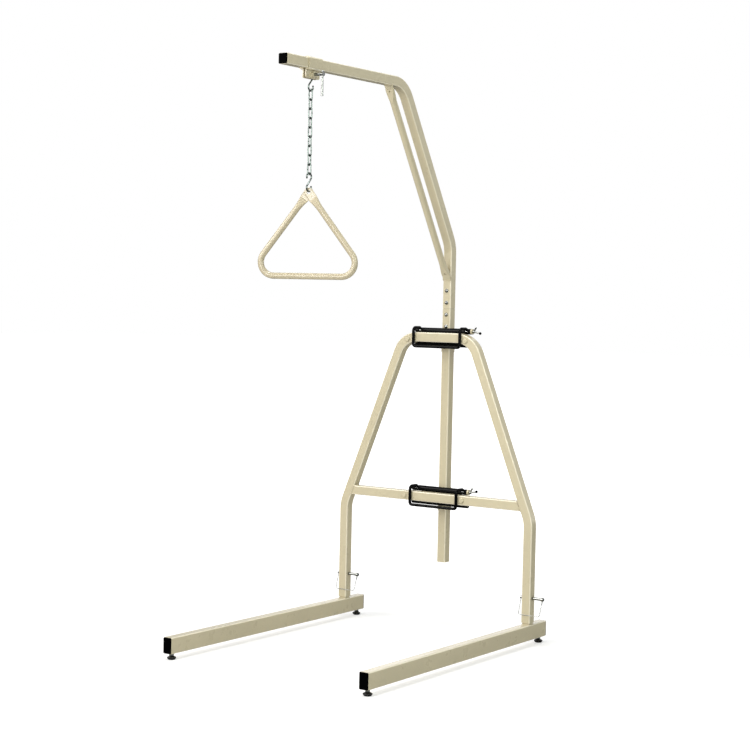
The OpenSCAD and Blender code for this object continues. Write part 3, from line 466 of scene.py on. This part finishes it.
# A link's weld: the steps along it, half of its length in millimetres, how much it swells the
# wire's radius, and the radius of its ends inside the wire
LINK_WELD_STEPS, LINK_WELD_HALF, LINK_WELD_SWELL, LINK_WELD_END = 8, 2.2, 0.17, 0.97


def link_welds():
    """The butt weld on one side of each chain link."""
    length = LINK_PITCH + LINK_WIRE + RUN_GAP
    bend, wire = (LINK_W - LINK_WIRE) / 2, LINK_WIRE / 2
    for body, span in (("upper_chain", range(UPPER_LINKS)),
                       ("lower_chain", range(UPPER_LINKS, LINKS))):
        bm = bmesh.new()
        for i in span:
            z = LINK_Z - i * LINK_PITCH - length / 2
            off = bend * (-1 if i % 4 < 2 else 1)
            x, y = (MAST_X + off, SLIDER_Y) if i % 2 == 0 else (MAST_X, SLIDER_Y + off)
            rings = []
            for k in range(LINK_WELD_STEPS + 1):
                t = 2 * k / LINK_WELD_STEPS - 1
                r = wire * LINK_WELD_END
                if abs(t) < 1:
                    r = wire * (1.0 + LINK_WELD_SWELL * math.cos(t * math.pi / 2) ** 0.6)
                ring_z = z + t * LINK_WELD_HALF
                rings.append([row(x + r * math.cos(a), y + r * math.sin(a), ring_z)
                              for a in angles(16)])
            skin(bm, rings)
        piece(f"{body}_link_welds", bm, body, CHROME)


# A glide pad's outline from its underside up, as radius and height
PAD = [(9.6, 0), (10.4, 0.25), (12.6, 2.6), (13.6, 4.0), (14.25, 5.5), (14.0, 6.6), (13.3, 7.5),
       (11.4, 8.4), (9.0, 9.8), (7.6, 11.2), (7.0, 11.5), (4.12, 11.5)]
PAD_BORE, PAD_SEAT, PAD_SIDES = 4.12, 3.0, 96
PAD_LOBES, LOBE_DEPTH, LOBE_LOW, LOBE_HIGH = 12, 0.75, 2.0, 9.0
STEM_R, STEM_CORE, THREAD_PITCH, THREAD_DEPTH = 4.0, 3.0, 1.25, 0.62
STEM_START, STEM_LENGTH, STEM_SIDES, RINGS_PER_TURN = 3.08, 44.0, 20, 8


def pad_mesh(bm, x, y):
    """A round pad with hollows round its side and a blind bore."""
    rings = []
    for radius, z in PAD:
        depth = LOBE_DEPTH if LOBE_LOW < z < LOBE_HIGH else 0.0
        ring = []
        for a in angles(PAD_SIDES):
            lobe = max(0.0, -math.cos(PAD_LOBES * a)) ** 2
            r = radius - depth * lobe
            ring.append(row(x + r * math.cos(a), y + r * math.sin(a), z))
        rings.append(ring)
    rings.append([row(x + PAD_BORE * math.cos(a), y + PAD_BORE * math.sin(a), PAD_SEAT)
                  for a in angles(PAD_SIDES)])
    skin(bm, rings)


def stem_mesh(bm, x, y):
    """A threaded stem, with the thread's helix in its rings."""
    rings = []
    steps = int(STEM_LENGTH / THREAD_PITCH * RINGS_PER_TURN)
    for k in range(steps + 1):
        z = STEM_START + STEM_LENGTH * k / steps
        ring = []
        for j, a in enumerate(angles(STEM_SIDES)):
            phase = (z / THREAD_PITCH - j / STEM_SIDES) % 1.0
            r = STEM_R - THREAD_DEPTH * abs(2 * phase - 1)
            if k in (0, steps):
                r = STEM_CORE
            ring.append(row(x + r * math.cos(a), y + r * math.sin(a), z))
        rings.append(ring)
    skin(bm, rings)


def glides():
    """Each glide: a lobed pad and a threaded stem."""
    for side_name, side in SIDES.items():
        for end_name, y in GLIDES.items():
            name = f"{side_name}_{end_name}"
            bm = bmesh.new()
            pad_mesh(bm, side * LEG_X, y)
            piece(f"{name}_glide_pad", bm, f"{name}_glide", RUBBER,
                  replaces=(f"{name}_pad",))
            bm = bmesh.new()
            stem_mesh(bm, side * LEG_X, y)
            piece(f"{name}_glide_stem", bm, f"{name}_glide", ZINC,
                  replaces=(f"{name}_stem",))


def cap_mesh(bm, centre, out, w, h, rim=0.8):
    """A moulded cap: soft edges, a shallow recess in its face and a ribbed plug."""
    up = Vector((0, 0, 1))
    across = up.cross(out)
    # how far out of the tube's end, and how far in from its sides
    steps = [(-18.0, 2.9), (-17.0, 2.6), (-12.0, 2.6), (-11.6, 3.1), (-10.4, 3.1), (-10.0, 2.6),
             (-4.0, 2.6), (-3.6, 3.1), (0.0, 3.1), (0.0, rim), (2.2, rim), (2.7, rim + 0.3),
             (2.95, rim + 0.9), (3.0, 2.4), (3.0, 5.0), (2.75, 5.5), (2.6, 6.2)]
    rings = []
    for depth, inset in steps:
        if 1 <= inset <= 2.5:
            r = CORNER - inset * 0.5
        else:
            r = max(0.6, CORNER - inset)
        rings.append([centre + MM * (depth * out + u * across + v * up)
                      for u, v in rounded(w - 2 * inset, h - 2 * inset, r, 4)])
    skin(bm, rings)


def caps():
    """The ribbed caps of the feet and the boom; the rear ones lie flush with the foot."""
    front, back = Vector((0, -1, 0)), Vector((0, 1, 0))
    middle = FOOT_LIFT + FOOT_HIGH / 2
    for name, side in SIDES.items():
        bm = bmesh.new()
        cap_mesh(bm, row(side * LEG_X, FOOT_FRONT, middle), front, SIDE, FOOT_HIGH)
        cap_mesh(bm, row(side * LEG_X, FOOT_REAR, middle), back, SIDE, FOOT_HIGH, rim=0.1)
        piece(f"{name}_foot_end_caps", bm, "base", PLASTIC,
              replaces=(f"{name}_foot_caps",), smooth=False)
    bm = bmesh.new()
    cap_mesh(bm, row(MAST_X, MAST_Y - BOOM_REACH, BOOM_Z), front, SIDE, SIDE)
    piece("boom_cap", bm, "mast", PLASTIC, replaces=("boom_end_cap",),
          smooth=False)


# The handle's rings on each stretch of one half, the points of a ring, how a tab's width and
# thickness pass into the tube's, and how far the drill reaches to each side
TAB_END_RINGS, STRAIGHT_RINGS, BEND_RINGS, GRIP_RINGS, HANDLE_SIDES = 14, 40, 48, 24, 64
WIDTH_POWER, THICKNESS_POWER = 1.6, 1.3
DRILL_REACH = 12


def handle_path():
    """Half of the handle's path: the distance along it up to its bend, the point in the
    handle's plane and the lean of its section."""
    run = (HANDLE_GRIP / 2 + HANDLE_BEND * math.cos(HANDLE_LEAN)) / math.sin(HANDLE_LEAN)
    turn = math.pi / 2 + HANDLE_LEAN
    neck = TAB_L + TAB_BLEND
    # the tab's round end, the tab, its crease, the blend and the straight tube
    steps = [-TAB_W / 2 * math.cos(math.pi / 2 * k / TAB_END_RINGS) for k in range(TAB_END_RINGS)]
    steps += list(range(0, int(TAB_L), 2)) + [TAB_L - 0.4, TAB_L, TAB_L + 0.4]
    steps += [TAB_L + k for k in range(2, int(TAB_BLEND) + 1)]
    steps += [neck + (run - neck) * k / STRAIGHT_RINGS for k in range(1, STRAIGHT_RINGS + 1)]
    path = [(s, s * math.sin(HANDLE_LEAN), -s * math.cos(HANDLE_LEAN), HANDLE_LEAN) for s in steps]
    # the bend and half of the grip
    centre_z = -run * math.cos(HANDLE_LEAN) - HANDLE_BEND * math.sin(HANDLE_LEAN)
    for k in range(1, BEND_RINGS + 1):
        lean = HANDLE_LEAN - turn * k / BEND_RINGS
        path.append((run, HANDLE_GRIP / 2 + HANDLE_BEND * math.cos(lean),
                     centre_z + HANDLE_BEND * math.sin(lean), lean))
    for k in range(1, GRIP_RINGS + 1):
        path.append((run, HANDLE_GRIP / 2 * (1 - k / GRIP_RINGS), centre_z - HANDLE_BEND,
                     HANDLE_LEAN - turn))
    return path


def handle_place(x, y, z):
    """A point of the handle's own frame, whose origin is the hole, in the shared frame."""
    return row(MAST_X + x * math.cos(HANDLE_YAW) - y * math.sin(HANDLE_YAW),
               SLIDER_Y + x * math.sin(HANDLE_YAW) + y * math.cos(HANDLE_YAW), HANDLE_Z + z)


def handle_ring(side, s, x, z, lean):
    """The handle's section at one point: flat on the tab and round on the tube."""
    tube = HANDLE_D / 2
    u = clamped((s - TAB_L) / TAB_BLEND, 0.0, 1.0)
    wide = tube + (TAB_W / 2 - tube) * (1 - u) ** WIDTH_POWER
    thick = TAB_T / 2 + (tube - TAB_T / 2) * (1 - (1 - u) ** THICKNESS_POWER)
    if s < 0:
        wide = max(0.5, math.sqrt(max(0.0, (TAB_W / 2) ** 2 - s * s)))
    r = min(wide, thick)
    shift = -side * (TAB_T + TAB_GAP) / 2 * (1 - u)
    ring = []
    for t in angles(HANDLE_SIDES):
        c, q = math.cos(t), math.sin(t)
        a = r * c + (wide - r) * clamped(4 * c, -1.0, 1.0)
        b = r * q + (thick - r) * clamped(4 * q, -1.0, 1.0) + shift
        ring.append(handle_place(side * (x + a * math.cos(lean)), b, z + a * math.sin(lean)))
    return ring


def temporary(name, rings):
    """A closed surface as an object that is only worked with."""
    bm = bmesh.new()
    skin(bm, rings)
    bmesh.ops.recalc_face_normals(bm, faces=bm.faces)
    me = bpy.data.meshes.new(name)
    bm.to_mesh(me)
    bm.free()
    return link_object(name, me)


def handle():
    """The bent handle: a smooth tube whose two ends flatten into drilled tabs."""
    left, right = [[handle_ring(side, *at) for at in handle_path()] for side in (-1, 1)]
    blank = temporary("handle_blank", left + right[-2::-1])
    # the hole through both tabs
    cutter = temporary("handle_cutter", [
        [handle_place(HOLE_D / 2 * math.cos(t), y, HOLE_D / 2 * math.sin(t))
         for t in angles(HANDLE_SIDES)]
        for y in (-DRILL_REACH, DRILL_REACH)])
    hole = blank.modifiers.new("hole", "BOOLEAN")
    hole.operation, hole.solver, hole.object = "DIFFERENCE", "EXACT", cutter
    graph = bpy.context.evaluated_depsgraph_get()
    drilled = bpy.data.meshes.new_from_object(blank.evaluated_get(graph))
    bm = bmesh.new()
    bm.from_mesh(drilled)
    for me in (drilled, blank.data, cutter.data):
        bpy.data.meshes.remove(me)
    o = piece("bent_handle", bm, "handle", HANDLE, replaces=("trapeze_handle",))
    o.data.set_sharp_from_angle(angle=math.radians(35))


# Stage: the floor's colour in plain light, and in what metal and gloss show of it
FLOOR_COLOUR = (0.70, 0.70, 0.70)
FLOOR_IN_GLOSS = (0.16, 0.17, 0.165)
# The distances from the stand's middle between which the floor's own glow grows, in metres, and
# its levels there
GLOW_REACH, GLOW_LEVELS = (0.8, 3.2), (0.45, 1.0)


def stage_floor():
    """A floor that keeps the shadow near the stand and turns white away from it."""
    me = bpy.data.meshes.new("floor")
    bm = bmesh.new()
    bmesh.ops.create_grid(bm, x_segments=2, y_segments=2, size=30)
    bm.to_mesh(me)
    bm.free()
    floor = link_object("floor", me)
    floor.location.z = -0.0005
    m = bpy.data.materials.new("floor_white")
    m.use_nodes = True
    m.node_tree.nodes.clear()
    n = Nodes(m.node_tree)
    out = n.add("OutputMaterial")
    diffuse = n.add("BsdfDiffuse")
    path = n.add("LightPath")
    shade = n.add("Mix", data_type="RGBA")
    n.link(path.outputs["Is Glossy Ray"], shade.inputs["Factor"])
    shade.inputs["A"].default_value = (*FLOOR_COLOUR, 1)
    shade.inputs["B"].default_value = (*FLOOR_IN_GLOSS, 1)
    n.link(shade.outputs["Result"], diffuse.inputs["Color"])
    glow = n.add("Emission")
    length = n.add("VectorMath", operation="LENGTH")
    n.link(n.add("NewGeometry").outputs["Position"], length.inputs[0])
    level = n.remap(length.outputs["Value"], *GLOW_REACH, *GLOW_LEVELS)
    n.link(n.math("MULTIPLY", path.outputs["Is Camera Ray"], level), glow.inputs["Strength"])
    add = n.add("AddShader")
    n.link(diffuse.outputs["BSDF"], add.inputs[0])
    n.link(glow.outputs["Emission"], add.inputs[1])
    n.link(add.outputs["Shader"], out.inputs["Surface"])
    me.materials.append(m)


# The sky's level; the soft boxes that gloss shows, as the scale of their noise, the noise at
# their edges and their levels outside and inside; and a pale stretch towards one side, as the
# side, the cosines at its edges and its levels outside and inside
SKY = 0.50
BOX_NOISE, BOX_EDGES, BOX_LEVELS = 3.2, (0.54, 0.60), (0.01, 1.7)
PALE_SIDE, PALE_EDGES, PALE_LEVELS = Vector((0.25, 1.0, 0.1)), (0.36, 0.62), (0.0, 0.45)


def studio():
    """White to the camera, an even sky to the paint, soft boxes with dark gaps to the metal."""
    world = bpy.data.worlds.new("studio")
    bpy.context.scene.world = world
    world.use_nodes = True
    n = Nodes(world.node_tree)
    back = world.node_tree.nodes["Background"]
    path = n.add("LightPath")
    place = n.add("TexCoord").outputs["Generated"]
    patches = n.remap(n.noise(place, BOX_NOISE, 1), *BOX_EDGES, *BOX_LEVELS)
    pale = n.remap(n.dot(place, PALE_SIDE.normalized()), *PALE_EDGES, *PALE_LEVELS)
    boxes = n.math("MAXIMUM", patches, pale)
    camera_share = n.math("MULTIPLY", path.outputs["Is Camera Ray"], 1.0 - SKY)
    gloss_share = n.math("MULTIPLY", path.outputs["Is Glossy Ray"],
                         n.math("SUBTRACT", boxes, SKY))
    both = n.math("ADD", camera_share, gloss_share)
    n.link(n.math("ADD", both, SKY), back.inputs["Strength"])
    back.inputs["Color"].default_value = (1, 1, 1, 1)


def area(name, pos, aim, size, power, colour=(1, 1, 1)):
    """An area lamp that the camera doesn't see."""
    data = bpy.data.lights.new(name, "AREA")
    data.shape = "RECTANGLE"
    data.size, data.size_y = size
    data.energy = power
    data.color = colour
    o = link_object(name, data)
    o.location = pos
    o.rotation_euler = (Vector(aim) - Vector(pos)).to_track_quat("-Z", "Y").to_euler()
    o.visible_camera = False


# Build
camera()
dress_cad()
cream_welds()
clamp_welds()
link_welds()
glides()
caps()
handle()
stage_floor()
studio()
area("key", (-3.2, -4.6, 3.4), (0, 0, 0.9), (2.6, 3.4), 174, (1, 0.975, 0.945))
area("top", (0.2, -0.6, 4.6), (0, 0, 0.8), (1.3, 1.3), 75)
area("front_strip", (0.3, -3.8, 1.7), (0, 0, 1.4), (0.7, 1.4), 24, (1, 0.98, 0.955))
area("right_strip", (3.3, -1.6, 2.3), (0, 0, 1.4), (0.18, 2.2), 27, (0.88, 1.0, 0.84))
bpy.context.scene.view_settings.view_transform = "Standard"
